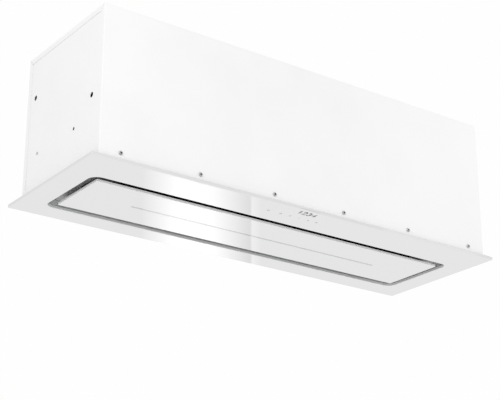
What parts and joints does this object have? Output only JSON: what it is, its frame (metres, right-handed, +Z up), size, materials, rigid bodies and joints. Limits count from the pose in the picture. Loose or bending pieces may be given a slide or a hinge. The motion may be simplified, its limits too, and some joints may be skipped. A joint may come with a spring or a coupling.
{
  "type": "ceiling range hood",
  "caption": "Flush ceiling range hood: white steel housing, white glass face with a slot round a hinged lit glass panel, inner blower and round outlet collar with flaps.",
  "frame": {"origin": "centre of the four hanging holes, on the upper face of the housing", "axes": "+X along the hood, +Y from the control side to the hinge side, +Z up"},
  "size_m": [1.003, 0.33, 0.38],
  "materials": {
    "white_paint": "fine satin powder coat",
    "white_glass": "white back-painted glass, polished",
    "zinc_steel": "zinc plated",
    "galvanised": "galvanised sheet",
    "black_metal": "black coated",
    "aluminium": "drawn",
    "opal": "opal diffuser",
    "black_plastic": "moulded",
    "grey_plastic": "moulded",
    "board": "circuit board",
    "copper": "enamelled wire",
    "steel": "turned",
    "rubber": "moulded",
    "foam": "closed-cell foam",
    "magnet": "sintered ferrite"
  },
  "bodies": {
    "housing": {"housing_wrapper": "white_paint", "end_wall_left": "white_paint", "end_wall_right": "white_paint", "wall_screws": "zinc_steel", "end_screws": "zinc_steel", "hanger_rails": "galvanised", "face_glass": "white_glass", "face_carrier": "white_paint", "ceiling_seal": "foam", "touch_board": "board", "suction_tray": "galvanised", "tray_screws": "zinc_steel", "filter_frame_left": "black_metal", "filter_frame_right": "black_metal", "filter_mesh_left": "black_metal", "filter_mesh_right": "black_metal", "latch_spring_left": "steel", "latch_spring_right": "steel", "hinge_brackets": "galvanised", "hinge_pins": "steel", "catch_magnets": "magnet", "scroll_left": "grey_plastic", "scroll_right": "grey_plastic", "scroll_screws": "zinc_steel", "inlet_rings": "grey_plastic", "motor_shell": "aluminium", "motor_end_cap": "aluminium", "motor_stator": "steel", "motor_windings": "copper", "motor_bearings": "steel", "motor_bracket": "galvanised", "motor_bushes": "rubber", "motor_screws": "zinc_steel", "motor_capacitor": "grey_plastic", "capacitor_clip": "galvanised", "outlet_collar": "black_plastic", "collar_screws": "zinc_steel", "flap_pin": "steel", "control_box": "grey_plastic", "control_box_lid": "grey_plastic", "control_board": "board", "terminal_block": "grey_plastic", "cable_gland": "black_plastic", "light_supply": "grey_plastic", "roof_screws": "zinc_steel"},
    "panel": {"panel_glass": "white_glass", "panel_carrier": "galvanised", "light_profile": "aluminium", "light_board": "board", "light_diffuser": "opal", "hinge_leaves": "galvanised", "striker_plates": "zinc_steel"},
    "rotor": {"impeller": "galvanised", "motor_rotor": "steel", "motor_shaft": "steel"},
    "flap_left": {"flap_left": "black_plastic"},
    "flap_right": {"flap_right": "black_plastic"},
    "latch_left": {"filter_latch_left": "black_plastic"},
    "latch_right": {"filter_latch_right": "black_plastic"}
  },
  "joints": [
    {"name": "panel_swing", "type": "hinge", "parent": "housing", "child": "panel", "pos_m": [0, 0.092, -0.3075], "axis": [1, 0, 0], "range_deg": [0, 90]},
    {"name": "impeller_spin", "type": "hinge", "parent": "housing", "child": "rotor", "pos_m": [0, -0.041, -0.1292], "axis": [1, 0, 0], "continuous": true},
    {"name": "flap_left_swing", "type": "hinge", "parent": "housing", "child": "flap_left", "pos_m": [0, 0.04, 0.0165], "axis": [0, 1, 0], "range_deg": [0, 80]},
    {"name": "flap_right_swing", "type": "hinge", "parent": "housing", "child": "flap_right", "pos_m": [0, 0.04, 0.0165], "axis": [0, -1, 0], "range_deg": [0, 80]},
    {"name": "latch_left_slide", "type": "slide", "parent": "housing", "child": "latch_left", "axis": [0, 1, 0], "range_m": [0, 0.004], "stiffness_N_per_m": 400, "springref_m": -0.002, "deforming": ["latch_spring_left"]},
    {"name": "latch_right_slide", "type": "slide", "parent": "housing", "child": "latch_right", "axis": [0, 1, 0], "range_m": [0, 0.004], "stiffness_N_per_m": 400, "springref_m": -0.002, "deforming": ["latch_spring_right"]}
  ]
}
